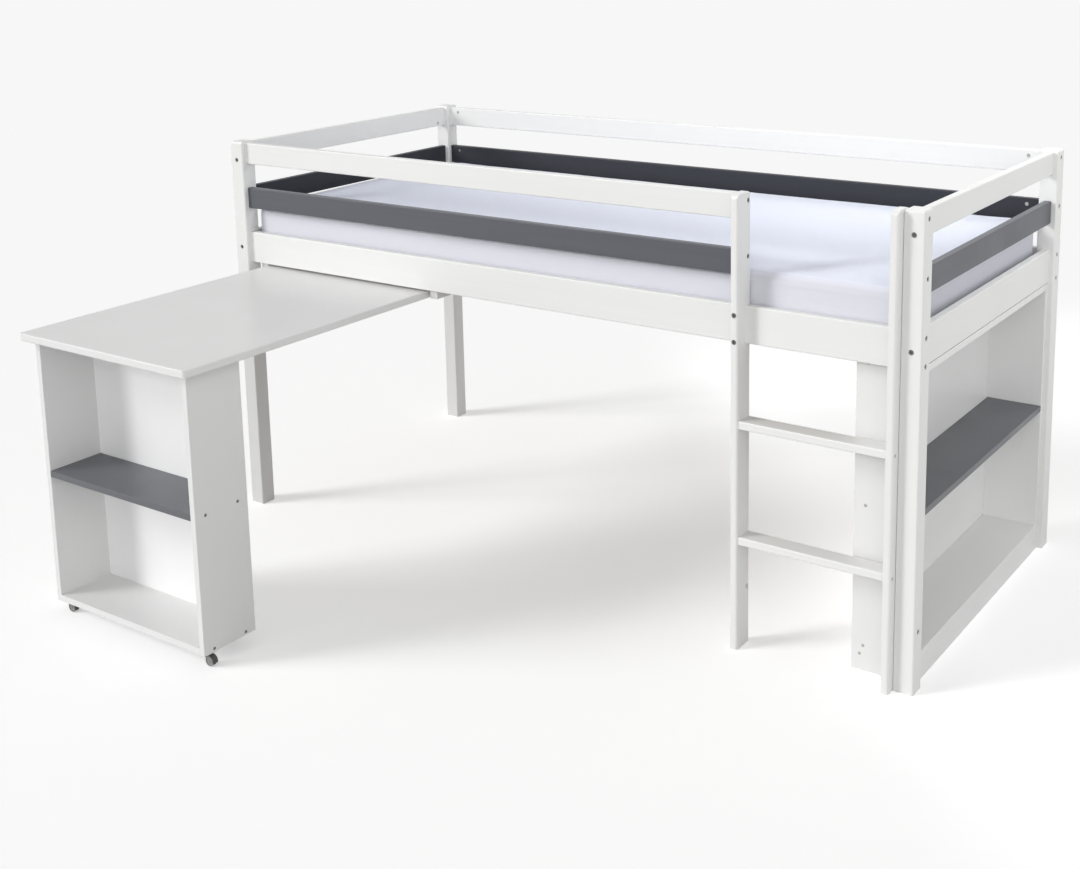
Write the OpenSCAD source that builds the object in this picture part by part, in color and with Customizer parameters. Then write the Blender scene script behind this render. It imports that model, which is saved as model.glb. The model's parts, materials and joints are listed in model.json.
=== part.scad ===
// Cabin bed: a raised single bed with guard rails, a ladder at the front, a bookcase
// under one end and a desk that slides out on castors from under the other end.
// Millimetres. X runs along the bed, Y from front to back, Z up. The origin is on the
// floor, under the centre of the whole object with the desk pulled out.

/* [Bed frame] */
// Length over the posts
bed_l = 2100; // [1950:10:2300]
// Width over the posts
bed_w = 970; // [950:10:1200]
// Height of the posts
bed_h = 1100; // [1060:10:1300]
// Side of the square posts
post_w = 48; // [42:1:60]
// Thickness of the rails and boards
board_t = 20; // [18:1:24]
// Height of the guard rails
guard_h = 60; // [50:1:70]
// Height of the side rails and end boards that carry the base
deep_h = 90; // [84:1:110]
// Clear gap between one rail and the next
rail_gap = 70; // [55:1:75]
// Distance of the top rails below the post tops
top_drop = 5; // [3:1:20]
// Rounding of the rails' long edges
edge_r = 3; // [1:0.5:5]
// Rounding of the posts' long edges
post_r = 4; // [1:0.5:6]
// Rounding of the post tops
post_top_r = 7; // [3:0.5:10]

/* [Base and mattress] */
// Number of slats
slat_n = 14; // [10:1:18]
// Width of a slat
slat_w = 70; // [50:1:80]
// Thickness of a slat
slat_t = 18; // [15:1:25]
// Rounding of the slats' edges
slat_r = 2; // [0.5:0.5:4]
// Clearance between a slat's end and the side rail
slat_gap = 2.5; // [1:0.5:6]
// First slat's distance from the post
slat_start = 15; // [5:1:40]
// Height of the ledgers that carry the slats
ledger_h = 30; // [25:1:40]
// Width of the ledgers
ledger_w = 25; // [20:1:35]
// Clearance between a ledger's end and the post
ledger_gap = 5; // [1:1:20]
// Rounding of the ledgers' edges
ledger_r = 1; // [0.5:0.25:3]
// Thickness of the mattress at its crown
mattress_t = 126; // [90:1:150]
// Clearance between the mattress and the frame
mattress_gap = 2; // [1.5:0.5:15]
// Rounding of the mattress's four corners, seen from above
mattress_corner_r = 30; // [20:1:80]
// Rounding of the mattress's upper edge
mattress_edge_r = 20; // [8:1:25]
// Rise of the mattress's middle over its edges
mattress_crown = 5; // [1:0.5:12]
// Depth by which the mattress's sides are drawn in at half height
mattress_waist = 2.5; // [0:0.5:5]

/* [Ladder] */
// Width over the ladder's stiles
ladder_w = 400; // [350:10:600]
// Thickness of a stile
stile_t = 20; // [18:1:24]
// Depth of a stile, front to back
stile_d = 60; // [55:1:80]
// Rounding of the stiles' front edges
stile_r = 6; // [1:0.5:8]
// Rounding of the stile tops, seen from the side
stile_top_r = 14; // [4:1:20]
// Height from the floor to the first tread, and from one tread to the next
tread_pitch = 284; // [240:2:320]
// Depth of a tread
tread_d = 50; // [40:1:54]
// Thickness of a tread
tread_t = 20; // [18:1:24]

/* [Bookcase] */
// Depth of the bookcase
book_d = 155; // [120:5:260]
// Thickness of the bookcase and desk unit panels
panel_t = 16; // [15:1:20]
// Rounding of the panel edges
panel_r = 1; // [0.5:0.25:2]
// Thickness of the thin back panels
back_t = 7; // [4:0.5:8]
// Depth of the grooves that hold the back panels
groove_d = 6; // [3:0.5:7]
// Clearance between the bookcase and the end board above it
book_gap = 1; // [0.5:0.5:5]
// Height of the underside of the bookcase's middle shelf
book_shelf_z = 394; // [250:2:480]
// Height of the plinths under the bottom shelf
plinth_h = 54; // [40:1:100]
// Rear plinth's distance from the back edge of the side panels
plinth_in = 12; // [11:1:30]
// Distance of the shelf screws from the panel edges
book_screw_in = 28; // [20:1:40]

/* [Desk] */
// Width of the desk top, along the bed
desk_w = 600; // [500:10:700]
// Length of the desk top, out from the bed
desk_l = 900; // [800:10:960]
// Thickness of the desk top
desk_t = 20; // [18:1:25]
// Rounding of the desk top's corners, seen from above
desk_corner_r = 8; // [3:1:20]
// Distance of the desk top from the left posts' outer faces
desk_in = 100; // [90:5:200]
// Gap between the desk top and the side rail above it
desk_drop = 7; // [6:0.5:12]
// Depth of the desk unit
unit_d = 160; // [130:5:300]
// Desk top's overhang over the unit's sides
unit_side_in = 26; // [10:1:60]
// Desk top's overhang over the unit's open front
unit_front_in = 25; // [10:1:60]
// Height of the underside of the desk unit's middle shelf
unit_shelf_z = 365; // [250:5:480]
// Distance of the unit's shelf screws from its front and rear edges
unit_screw_in = 31; // [25:1:32]

/* [Desk runners] */
// Height of the runners under the bed's base
runner_h = 26; // [24:1:40]
// Width of a runner
runner_w = 25; // [23:1:40]
// Rounding of the runners' edges
runner_r = 1.5; // [0.5:0.5:3]
// Gap between a runner and the desk top's edge
runner_gap = 8; // [4:0.5:15]
// Depth of the runner's groove
slot_d = 12; // [8:0.5:14]
// Diameter of the guide pins
pin_d = 8; // [6:0.5:9]
// Play of a guide pin in its groove, all round
pin_play = 0.3; // [0.2:0.05:0.5]
// Distance of the guide pins from the desk top's inner end
pin_in = 30; // [20:1:50]
// Depth of the guide pins in the desk top
pin_grip = 25; // [15:1:40]
// Wood left in front of the groove, to the pin's stop
slot_front = 26; // [20:0.5:40]
// Wood left behind the groove, to the pin's stop
slot_rear = 50; // [20:0.5:60]
// Distance that the desk stands short of its front stop
rest_in = 10; // [5:1:100]

/* [Castors] */
// Diameter of the wheels
wheel_d = 25; // [22:1:40]
// Width of one wheel of a pair
wheel_w = 4; // [3:0.5:6]
// Height of a castor above its wheels
castor_head = 8; // [7:0.5:12]
// Distance of the front castors' swivel axes from the unit's sides
castor_side_in = 18; // [18:1:30]
// Distance of the rear castors' swivel axes from the unit's sides
castor_rear_in = 75; // [65:1:150]
// Distance of the castors' swivel axes from the unit's front edge and its back panel
castor_edge_in = 24; // [23:1:30]
// Distance of the wheels' axle behind the swivel axis
castor_trail = 12; // [10:0.5:15]
// Side of the square castor plates
plate_w = 34; // [32:1:36]
// Thickness of the castor plates
plate_t = 2; // [1.5:0.1:2.5]
// Diameter of the swivel stem
stem_d = 4; // [3.5:0.25:4.25]
// Diameter of the wheels' axle
axle_d = 3; // [2.5:0.25:4]
// Thickness of the hood over the wheels
hood_t = 1.6; // [1.2:0.1:2]
// Width of the castor body between the two wheels
web_w = 6.5; // [6:0.5:9]

/* [Bolts and dowels] */
// Diameter of the frame bolts
bolt_d = 6; // [5:1:7]
// Diameter of the bolt heads
bolt_head_d = 10; // [9:0.5:11]
// Height of the bolt heads
bolt_head_h = 6; // [5:0.5:7]
// Width over the flats of the hexagon sockets
socket_af = 5; // [4:0.5:6]
// Diameter of the recesses that the heads sit in
recess_d = 12.4; // [11.8:0.2:15]
// Depth of those recesses
recess_h = 7.5; // [7.2:0.1:9]
// Distance of the bolts from a rail's upper edge
bolt_top_in = 16; // [13:1:20]
// Distance of the bolts from a rail's lower edge
bolt_low_in = 11; // [10:0.5:14]
// Diameter of the barrel nuts and of the insert nuts
nut_d = 10; // [9:0.5:11]
// Length of the barrel nuts
barrel_l = 15; // [12:0.5:16]
// Length of the insert nuts
insert_l = 15; // [12:0.5:16]
// Distance of the barrel nuts from the rail ends
nut_in = 35; // [28:1:50]
// Depth by which the barrel nuts lie below the rail's face
nut_sink = 1; // [0.5:0.25:2]
// Height of the lowest ladder bolt
ladder_bolt_z = 145; // [80:5:200]
// Diameter of the dowels
dowel_d = 8; // [6:1:8]
// Length of the dowels
dowel_l = 30; // [24:1:34]
// Distance of the dowels from a rail's edges
dowel_in = 15; // [13:1:18]

/* [Wood screws] */
// Diameter of the screws
screw_d = 4; // [3:0.5:4.5]
// Length of the shelf screws
shelf_screw_l = 45; // [35:1:55]
// Length of the tread screws
tread_screw_l = 60; // [45:1:70]
// Depth of the base's screws in the ledgers and side rails
base_grip = 12; // [8:0.5:13]
// Length of the castor screws
castor_screw_l = 12; // [8:1:14]
// Diameter of the castor screws
castor_screw_d = 3; // [2.5:0.25:3.5]

/* [Hidden] */
$fn = 64;

// Clearance of a close fit, all round
fit = 0.1;
// Clearance of a bolt in wood, all round
loose = 0.5;
// Running clearance of a shaft in its bore, all round
run = 0.05;
// Clearance between faces that pass each other
pass = 0.3;
// Overrun of a cut past the face that it opens
over = 1;

WHITE = [0.93, 0.93, 0.92];
GREY = [0.34, 0.35, 0.37];
STEEL = [0.55, 0.54, 0.52];
BEECH = [0.80, 0.66, 0.48];
SHEET = [0.90, 0.91, 0.95];
DARK = [0.16, 0.16, 0.17];

// Levels of the frame
board_in = (post_w - board_t) / 2;
board_back = board_in + board_t;
top_z = bed_h - top_drop - guard_h;
grey_z = top_z - rail_gap - guard_h;
deep_z = grey_z - rail_gap - deep_h;
slat_z = deep_z + ledger_h;
base_z = slat_z + slat_t;

// Centre lines of the rails
front_y = post_w / 2;
back_y = bed_w - post_w / 2;
left_x = post_w / 2;
right_x = bed_l - post_w / 2;
span_x = bed_l - 2 * post_w;
span_y = bed_w - 2 * post_w;

// Ladder
ladder_x0 = bed_l - post_w - ladder_w;
ladder_x1 = bed_l - post_w - stile_t;
stile_front = board_back - stile_d;
guard_l = ladder_x0 - post_w;
tread_front = stile_front + (stile_d - tread_d) / 2;

// Slats
slat_x0 = post_w + slat_start;
slat_pitch = (bed_l - 2 * slat_x0 - slat_w) / (slat_n - 1);
ledger_y = board_back + ledger_w / 2;

// Desk, placed by its guide pins in the runners
runner_z = deep_z - runner_h;
runner_y1 = bed_w - board_back;
pin_y = board_back + slot_front + rest_in;
desk_y1 = pin_y + pin_in;
desk_y0 = desk_y1 - desk_l;
desk_top_z = deep_z - desk_drop;
desk_under = desk_top_z - desk_t;
pin_z = desk_top_z - desk_t / 2;

// Desk unit
castor_h = wheel_d + castor_head;
unit_x0 = desk_in + unit_side_in;
unit_x1 = desk_in + desk_w - unit_side_in;
unit_y0 = desk_y0 + unit_front_in;
unit_y1 = unit_y0 + unit_d;
// The thin back panels stand this far in from the rear edges
back_in = 2;
unit_back_y = unit_y1 - back_in - back_t;

// Bookcase, between the right posts and flush with the end board
book_x1 = bed_l - board_in;
book_x0 = book_x1 - book_d;
book_h = deep_z - book_gap;
book_y0 = post_w;
book_y1 = bed_w - post_w;
book_back_x = book_x0 + back_in + back_t;

// Directions: a turn takes +Z to the named direction
TO_RIGHT = [0, 90, 0];
TO_LEFT = [0, -90, 0];
TO_BACK = [-90, 0, 0];
TO_FRONT = [90, 0, 0];
TO_DOWN = [180, 0, 0];
TO_UP = [0, 0, 0];

// The frame's rails. Each has the middle of its first end's lower edge, its turn from
// the X axis, length, height, what covers its two ends, the side that its barrel nuts
// go in from, and the heights of its bolts and dowels.
function rail_at(r) = r[0];
function rail_turn(r) = r[1];
function rail_l(r) = r[2];
function rail_h(r) = r[3];
function rail_cover(r, end) = r[4][end];
function rail_nut_side(r) = r[5];
function rail_bolt_z(r) = r[6];
function rail_dowel_z(r) = r[7];

post_ends = [post_w, post_w];
long_bolts = [guard_h - bolt_top_in];
long_dowels = [dowel_in];
TOP_FRONT = [[post_w, front_y, top_z], 0, guard_l, guard_h, [post_w, stile_t], 1,
             long_bolts, long_dowels];
TOP_BACK = [[post_w, back_y, top_z], 0, span_x, guard_h, post_ends, -1,
            long_bolts, long_dowels];
TOP_LEFT = [[left_x, post_w, top_z], 90, span_y, guard_h, post_ends, -1,
            [bolt_low_in], [guard_h - dowel_in]];
TOP_RIGHT = [[right_x, post_w, top_z], 90, span_y, guard_h, post_ends, 1,
             [bolt_low_in], [guard_h - dowel_in]];
GREY_FRONT = [[post_w, front_y, grey_z], 0, guard_l, guard_h, [post_w, stile_t], 1,
              long_bolts, long_dowels];
GREY_BACK = [[post_w, back_y, grey_z], 0, span_x, guard_h, post_ends, -1,
             long_bolts, long_dowels];
GREY_LEFT = [[left_x, post_w, grey_z], 90, span_y, guard_h, post_ends, -1,
             [], [dowel_in, guard_h - dowel_in]];
GREY_RIGHT = [[right_x, post_w, grey_z], 90, span_y, guard_h, post_ends, 1,
              [], [dowel_in, guard_h - dowel_in]];
deep_bolts = [bolt_low_in, deep_h - bolt_top_in];
SIDE_FRONT = [[post_w, front_y, deep_z], 0, span_x, deep_h, post_ends, 1,
              deep_bolts, [deep_h / 2]];
SIDE_BACK = [[post_w, back_y, deep_z], 0, span_x, deep_h, post_ends, -1,
             deep_bolts, [deep_h / 2]];
END_LEFT = [[left_x, post_w, deep_z], 90, span_y, deep_h, post_ends, -1,
            [deep_h / 2], [dowel_in, deep_h - dowel_in]];
END_RIGHT = [[right_x, post_w, deep_z], 90, span_y, deep_h, post_ends, 1,
             [deep_h / 2], [dowel_in, deep_h - dowel_in]];
ALL_RAILS = [TOP_FRONT, TOP_BACK, TOP_LEFT, TOP_RIGHT, GREY_FRONT, GREY_BACK,
             GREY_LEFT, GREY_RIGHT, SIDE_FRONT, SIDE_BACK, END_LEFT, END_RIGHT];

// Bolts of the ladder: through the right front post into the right stile, and
// through the left stile into the side rail
stile_bolt_z = [top_z + guard_h - bolt_top_in, grey_z + guard_h - bolt_top_in,
                ladder_bolt_z];
side_bolt_z = [for (z = deep_bolts) deep_z + z];
post_bolt_l = post_w - recess_h + insert_l;
side_bolt_l = stile_d - board_t - recess_h + insert_l;

// Screws, each as [where its head's face lies, which way it points, its length]
slat_screw_l = slat_t + base_grip;
ledger_screw_l = ledger_w + base_grip;
runner_screw_l = runner_h + base_grip;
slat_screws = [for (i = [0 : slat_n - 1], y = [ledger_y, bed_w - ledger_y])
    [[slat_x0 + i * slat_pitch + slat_w / 2, y, base_z], TO_DOWN, slat_screw_l]];
// The ledgers' screws lie under the slats, in every third gap between two of them
ledger_screw_in = 1;
ledger_screw_every = 3;
ledger_screw_z = slat_z - screw_d - ledger_screw_in;
ledger_screws = [for (i = [0 : ledger_screw_every : slat_n - 2], back = [0, 1])
    [[slat_x0 + i * slat_pitch + (slat_w + slat_pitch) / 2,
      back ? bed_w - board_back - ledger_w : board_back + ledger_w,
      ledger_screw_z],
     back ? TO_BACK : TO_FRONT, ledger_screw_l]];
runner_x0 = [desk_in - runner_gap - runner_w, desk_in + desk_w + runner_gap];
runner_screw_x = [runner_x0[0] + (runner_w - slot_d) / 2,
                  runner_x0[1] + (runner_w + slot_d) / 2];
runner_screws = [for (x = runner_screw_x, y = [ledger_y, bed_w - ledger_y])
    [[x, y, runner_z], TO_UP, runner_screw_l]];
tread_z = [tread_pitch - tread_t / 2, 2 * tread_pitch - tread_t / 2];
// Distance of the treads' screws from their front and rear edges
tread_screw_in = 5.5;
tread_screw_y = [tread_front + tread_screw_in, tread_front + tread_d - tread_screw_in];
tread_screws = [for (z = tread_z, y = tread_screw_y, side = [0, 1])
    [[side ? ladder_x1 + stile_t : ladder_x0, y, z],
     side ? TO_LEFT : TO_RIGHT, tread_screw_l]];
// Share of its height at which the rear plinth is screwed, clear of the bottom shelf
rear_plinth_share = 0.75;
book_screw_at = [
    for (x = [book_x0 + book_screw_in, book_x1 - book_screw_in],
         z = [plinth_h + panel_t / 2, book_shelf_z + panel_t / 2,
              book_h - panel_t / 2]) [x, z],
    [book_x0 + plinth_in + panel_t / 2, plinth_h * rear_plinth_share],
    [book_x1 - panel_t / 2, plinth_h / 2],
];
book_screws = [for (p = book_screw_at, back = [0, 1])
    [[p[0], back ? book_y1 : book_y0, p[1]],
     back ? TO_FRONT : TO_BACK, shelf_screw_l]];
unit_screws = [for (y = [unit_y0 + unit_screw_in, unit_y1 - unit_screw_in],
                    z = [castor_h + panel_t / 2, unit_shelf_z + panel_t / 2],
                    right = [0, 1])
    [[right ? unit_x1 : unit_x0, y, z],
     right ? TO_LEFT : TO_RIGHT, shelf_screw_l]];

// Castors: swivel axes, in the order front left, front right, rear left, rear right
castor_at = [for (rear = [0, 1], right = [0, 1]) let (
        side_in = rear ? castor_rear_in : castor_side_in
    ) [right ? unit_x1 - side_in : unit_x0 + side_in,
       rear ? unit_back_y - castor_edge_in : unit_y0 + castor_edge_in]];
// Distance of the castor screws from the plates' edges
plate_screw_in = 5;
plate_hole = plate_w / 2 - plate_screw_in;
castor_screw_at = [for (c = castor_at, sx = [-1, 1], sy = [-1, 1])
    [[c[0] + sx * plate_hole, c[1] + sy * plate_hole, castor_h - plate_t],
     TO_UP, castor_screw_l]];

// ---------------------------------------------------------------- shared shapes

// Moves a piece from the front left post's corner to the object's own origin
module in_frame() {
    translate([-bed_l / 2, -(bed_w + desk_y0) / 2, 0]) children();
}

// Rectangle with round corners, from the origin
module soft_rect(w, h, r) {
    translate([r, 0]) square([w - 2 * r, h]);
    translate([0, r]) square([w, h - 2 * r]);
    for (x = [r, w - r], y = [r, h - r]) translate([x, y]) circle(r);
}

// Upright outline with a flat foot and a rounded top
module round_top(w, h, r) {
    square([w, h - r]);
    translate([r, 0]) square([w - 2 * r, h]);
    for (x = [r, w - r]) translate([x, h - r]) circle(r);
}

// Bars of a rounded section a by b, from a corner, running along one axis
module bar_x(at, len, a, b, r) {
    translate(at) rotate([90, 0, 90]) linear_extrude(len) soft_rect(a, b, r);
}
module bar_y(at, len, a, b, r) {
    translate(at) translate([0, len, 0]) rotate([90, 0, 0])
        linear_extrude(len) soft_rect(a, b, r);
}
module bar_z(at, len, a, b, r) {
    translate(at) linear_extrude(len) soft_rect(a, b, r);
}

// Upright timber whose plan is its child. Its top is rounded by one radius seen from
// the side and by another seen from the front.
module upright(w, d, h, r_side, r_front) {
    intersection() {
        linear_extrude(h) children();
        rotate([90, 0, 90]) linear_extrude(w) round_top(d, h, r_side);
        translate([0, d, 0]) rotate([90, 0, 0]) linear_extrude(d) round_top(w, h, r_front);
    }
}

// ---------------------------------------------------------------- fasteners

// Socket head bolt: +Z runs from the face that it enters, its head down in a recess
module bolt(l) {
    difference() {
        union() {
            translate([0, 0, recess_h - bolt_head_h])
                cylinder(h = bolt_head_h, d = bolt_head_d);
            translate([0, 0, recess_h]) cylinder(h = l, d = bolt_d);
        }
        translate([0, 0, recess_h - bolt_head_h - over])
            cylinder(h = bolt_head_h / 2 + over, d = socket_af / cos(30), $fn = 6);
    }
}

module bolt_bore(l) {
    translate([0, 0, -over]) cylinder(h = recess_h + over, d = recess_d);
    cylinder(h = recess_h + l + over, d = bolt_d + 2 * loose);
}

// Length of a bolt past its barrel nut
bolt_past_nut = 2;
function rail_bolt_l(cover) = cover - recess_h + nut_in + nut_d / 2 + bolt_past_nut;

// Countersunk wood screw: +Z runs from its head's face to its tip. Its head is twice
// as wide as its shank.
module screw(d, l, grow = 0) {
    r = d / 2 + grow;
    head_r = d + grow;
    rim = 0.4;
    cone_share = 0.6;
    cone_h = d * cone_share;
    point_r = 0.3;
    tip_r = point_r + grow;
    rotate_extrude() polygon([
        [0, 0], [head_r, 0], [head_r, rim], [r, rim + cone_h],
        [r, l - d], [tip_r, l + grow], [0, l + grow],
    ]);
}

module screws(list, d) {
    for (s = list) translate(s[0]) rotate(s[1]) screw(d, s[2]);
}

module screw_bores(list, d) {
    for (s = list) translate(s[0]) rotate(s[1]) {
        screw(d, s[2], fit);
        translate([0, 0, -over]) cylinder(h = over + fit, r = d + fit);
    }
}

// Runs its children at the chosen ends of a rail, with +X into the rail
module at_ends(r, ends = [0, 1]) {
    translate(rail_at(r)) rotate([0, 0, rail_turn(r)]) for (end = ends) {
        $cover = rail_cover(r, end);
        translate([end * rail_l(r), 0, 0]) mirror([end, 0, 0]) children();
    }
}

module rail_bolts(r) {
    at_ends(r) for (z = rail_bolt_z(r))
        translate([-$cover, 0, z]) rotate(TO_RIGHT) bolt(rail_bolt_l($cover));
}

// Barrel nut, crossing its bolt, with its outer end below the rail's face
module barrel_nut(side) {
    rotate([side * -90, 0, 0]) translate([0, 0, board_t / 2 - nut_sink - barrel_l])
        cylinder(h = barrel_l, d = nut_d);
}

module barrel_nut_bore(side) {
    rotate([side * -90, 0, 0]) translate([0, 0, board_t / 2 - nut_sink - barrel_l - fit])
        cylinder(h = barrel_l + nut_sink + fit + over, d = nut_d + 2 * fit);
}

module rail_nuts(r) {
    at_ends(r) for (z = rail_bolt_z(r)) translate([nut_in, 0, z]) difference() {
        barrel_nut(rail_nut_side(r));
        rotate(TO_RIGHT)
            cylinder(h = nut_d + 2 * over, d = bolt_d + 2 * run, center = true);
    }
}

module rail_dowels_of(r) {
    at_ends(r) for (z = rail_dowel_z(r))
        translate([-dowel_l / 2, 0, z]) rotate(TO_RIGHT) cylinder(h = dowel_l, d = dowel_d);
}

// Everything that is drilled for a rail at the chosen ends
module rail_bores(r, ends = [0, 1]) {
    at_ends(r, ends) {
        for (z = rail_bolt_z(r)) {
            translate([-$cover, 0, z]) rotate(TO_RIGHT) bolt_bore(rail_bolt_l($cover));
            translate([nut_in, 0, z]) barrel_nut_bore(rail_nut_side(r));
        }
        for (z = rail_dowel_z(r)) translate([-dowel_l / 2 - fit, 0, z])
            rotate(TO_RIGHT) cylinder(h = dowel_l + 2 * fit, d = dowel_d + 2 * fit);
    }
}

// Right front post to right stile
module post_bolt_places() {
    for (z = stile_bolt_z) translate([bed_l, front_y, z]) rotate(TO_LEFT) children();
}

// Left stile to side rail
module side_bolt_places() {
    for (z = side_bolt_z) translate([ladder_x0 + stile_t / 2, stile_front, z])
        rotate(TO_BACK) children();
}

// Insert nut with its outer end at the origin
module insert_nut() {
    difference() {
        cylinder(h = insert_l, d = nut_d);
        translate([0, 0, -over])
            cylinder(h = insert_l + 2 * over, d = bolt_d + 2 * run);
    }
}

module insert_bore() {
    translate([0, 0, -over]) cylinder(h = insert_l + over + fit, d = nut_d + 2 * fit);
}

module post_inserts() {
    post_bolt_places() translate([0, 0, post_w]) children();
}

module side_inserts() {
    side_bolt_places() translate([0, 0, stile_d - board_t]) children();
}

// ---------------------------------------------------------------- bed frame

module post(x, y, x_rails, x_end, y_rails, y_end) {
    difference() {
        translate([x, y, 0]) upright(post_w, post_w, bed_h, post_top_r, post_top_r)
            soft_rect(post_w, post_w, post_r);
        for (r = x_rails) rail_bores(r, [x_end]);
        for (r = y_rails) rail_bores(r, [y_end]);
    }
}

module rail(r, colour) {
    color(colour) in_frame() difference() {
        translate(rail_at(r)) rotate([0, 0, rail_turn(r)])
            bar_x([0, -board_t / 2, 0], rail_l(r), board_t, rail_h(r), edge_r);
        rail_bores(r);
    }
}

module post_front_left() {
    color(WHITE) in_frame()
        post(0, 0, [TOP_FRONT, GREY_FRONT, SIDE_FRONT], 0,
             [TOP_LEFT, GREY_LEFT, END_LEFT], 0);
}

module post_front_right() {
    color(WHITE) in_frame() difference() {
        post(bed_l - post_w, 0, [SIDE_FRONT], 1, [TOP_RIGHT, GREY_RIGHT, END_RIGHT], 0);
        post_bolt_places() bolt_bore(post_bolt_l);
    }
}

module post_back_left() {
    color(WHITE) in_frame()
        post(0, bed_w - post_w, [TOP_BACK, GREY_BACK, SIDE_BACK], 0,
             [TOP_LEFT, GREY_LEFT, END_LEFT], 1);
}

module post_back_right() {
    color(WHITE) in_frame()
        post(bed_l - post_w, bed_w - post_w, [TOP_BACK, GREY_BACK, SIDE_BACK], 1,
             [TOP_RIGHT, GREY_RIGHT, END_RIGHT], 1);
}

module top_rail_front() { rail(TOP_FRONT, WHITE); }
module top_rail_back() { rail(TOP_BACK, WHITE); }
module top_rail_left() { rail(TOP_LEFT, WHITE); }
module top_rail_right() { rail(TOP_RIGHT, WHITE); }
module grey_rail_front() { rail(GREY_FRONT, GREY); }
module grey_rail_back() { rail(GREY_BACK, GREY); }
module grey_rail_left() { rail(GREY_LEFT, GREY); }
module grey_rail_right() { rail(GREY_RIGHT, GREY); }
module end_board_left() { rail(END_LEFT, WHITE); }
module end_board_right() { rail(END_RIGHT, WHITE); }

module side_rail_front() {
    difference() {
        rail(SIDE_FRONT, WHITE);
        in_frame() side_inserts() insert_bore();
        in_frame() screw_bores(ledger_screws, screw_d);
    }
}

module side_rail_back() {
    difference() {
        rail(SIDE_BACK, WHITE);
        in_frame() screw_bores(ledger_screws, screw_d);
    }
}

module frame_bolts() {
    color(STEEL) in_frame() {
        for (r = ALL_RAILS) rail_bolts(r);
        post_bolt_places() bolt(post_bolt_l);
        side_bolt_places() bolt(side_bolt_l);
    }
}

module barrel_nuts() {
    color(STEEL) in_frame() for (r = ALL_RAILS) rail_nuts(r);
}

module insert_nuts() {
    color(STEEL) in_frame() {
        post_inserts() insert_nut();
        side_inserts() insert_nut();
    }
}

module rail_dowels() {
    color(BEECH) in_frame() for (r = ALL_RAILS) rail_dowels_of(r);
}

// ---------------------------------------------------------------- base and mattress

module slat_ledgers() {
    ledger_x = post_w + ledger_gap;
    color(WHITE) in_frame() difference() {
        for (y = [board_back, bed_w - board_back - ledger_w])
            bar_x([ledger_x, y, deep_z], bed_l - 2 * ledger_x, ledger_w, ledger_h,
                  ledger_r);
        screw_bores(slat_screws, screw_d);
        screw_bores(ledger_screws, screw_d);
        screw_bores(runner_screws, screw_d);
    }
}

module slats() {
    slat_y = board_back + slat_gap;
    color(BEECH) in_frame() difference() {
        for (i = [0 : slat_n - 1])
            bar_y([slat_x0 + i * slat_pitch, slat_y, slat_z],
                  bed_w - 2 * slat_y, slat_w, slat_t, slat_r);
        screw_bores(slat_screws, screw_d);
    }
}

module base_screws() {
    color(STEEL) in_frame() {
        screws(slat_screws, screw_d);
        screws(ledger_screws, screw_d);
    }
}

// The mattress is a stack of rings. Each ring is the plan outline drawn in by some
// depth, at some height: from the underside, up the drawn-in sides, round the upper
// edge and over the crown.
corner_steps = 8;
edge_steps = 6;
crown_steps = 6;
mattress_x = post_w + mattress_gap;
mattress_y = board_back + mattress_gap;
mattress_half = [bed_l / 2 - mattress_x, bed_w / 2 - mattress_y];
mattress_edge_z = mattress_t - mattress_crown - mattress_edge_r;
mattress_foot_r = mattress_edge_r / 2;
side_levels = [0.25, 0.5, 0.75];
// Least rounding of the inmost rings, so that each ring keeps its corners
least_r = 6;

function ring(depth, z) = let (
        r = max(mattress_corner_r - depth, least_r),
        hx = mattress_half[0] - depth - r,
        hy = mattress_half[1] - depth - r
    ) [for (c = [0 : 3], k = [0 : corner_steps]) let (
        turn = 90 * c + 90 * k / corner_steps,
        sx = (c == 0 || c == 3) ? 1 : -1,
        sy = c < 2 ? 1 : -1
    ) [sx * hx + r * cos(turn), sy * hy + r * sin(turn), z]];

side_h = mattress_edge_z - mattress_foot_r;
// Half width of the crown's top ring
crown_flat = 10;
crown_run = mattress_half[1] - mattress_edge_r - crown_flat;
mattress_rings = concat(
    [for (k = [0 : edge_steps]) let (a = 90 * k / edge_steps)
        ring(mattress_foot_r * (1 - sin(a)), mattress_foot_r * (1 - cos(a)))],
    [for (t = side_levels)
        ring(mattress_waist * sin(180 * t), mattress_foot_r + t * side_h)],
    [for (k = [0 : edge_steps]) let (a = 90 * k / edge_steps)
        ring(mattress_edge_r * (1 - cos(a)),
             mattress_edge_z + mattress_edge_r * sin(a))],
    [for (k = [1 : crown_steps]) let (t = k / crown_steps)
        ring(mattress_edge_r + crown_run * t,
             mattress_edge_z + mattress_edge_r + mattress_crown * (1 - pow(1 - t, 2)))]
);

module mattress() {
    n = 4 * (corner_steps + 1);
    m = len(mattress_rings);
    points = concat([for (r = mattress_rings) each r],
                    [[0, 0, 0], [0, 0, mattress_t]]);
    wall = [for (i = [0 : m - 2], j = [0 : n - 1]) let (
            a = i * n + j,
            b = i * n + (j + 1) % n
        ) each [[a, a + n, b + n], [a, b + n, b]]];
    foot = [for (j = [0 : n - 1]) [m * n, j, (j + 1) % n]];
    crown = [for (j = [0 : n - 1])
        [m * n + 1, (m - 1) * n + (j + 1) % n, (m - 1) * n + j]];
    color(SHEET) in_frame() translate([bed_l / 2, bed_w / 2, base_z + pass])
        polyhedron(points, concat(wall, foot, crown), convexity = 4);
}

// ---------------------------------------------------------------- ladder

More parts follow.
